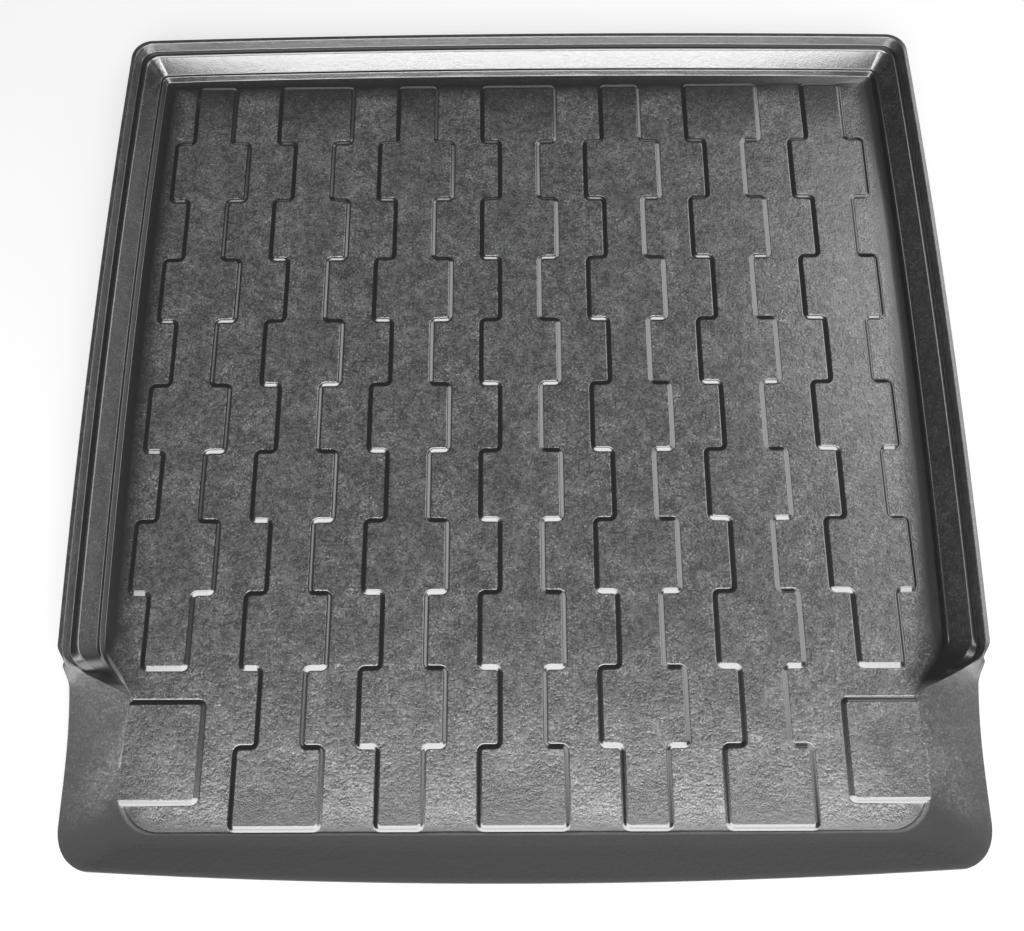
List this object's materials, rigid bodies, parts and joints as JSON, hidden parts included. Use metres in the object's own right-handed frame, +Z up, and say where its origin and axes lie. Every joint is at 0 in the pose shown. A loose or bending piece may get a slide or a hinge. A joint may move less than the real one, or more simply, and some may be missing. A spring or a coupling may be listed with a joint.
{
  "type": "car boot liner",
  "caption": "Formed plastic tray that lines a car boot: stepped raised rim at the back and sides, low apron and sill slope at the front, raised block pattern on the floor.",
  "frame": {"origin": "middle of the underside, on the surface that the liner lies on", "axes": "+Z up out of the tray, +Y towards the rear seats, -Y towards the tailgate sill, +X across the boot"},
  "size_m": [0.9946, 1.009, 0.044],
  "materials": {
    "plastic": "fine grained, dark anthracite, semi-matt"
  },
  "bodies": {
    "root": {"boot_liner": "plastic"}
  },
  "joints": []
}
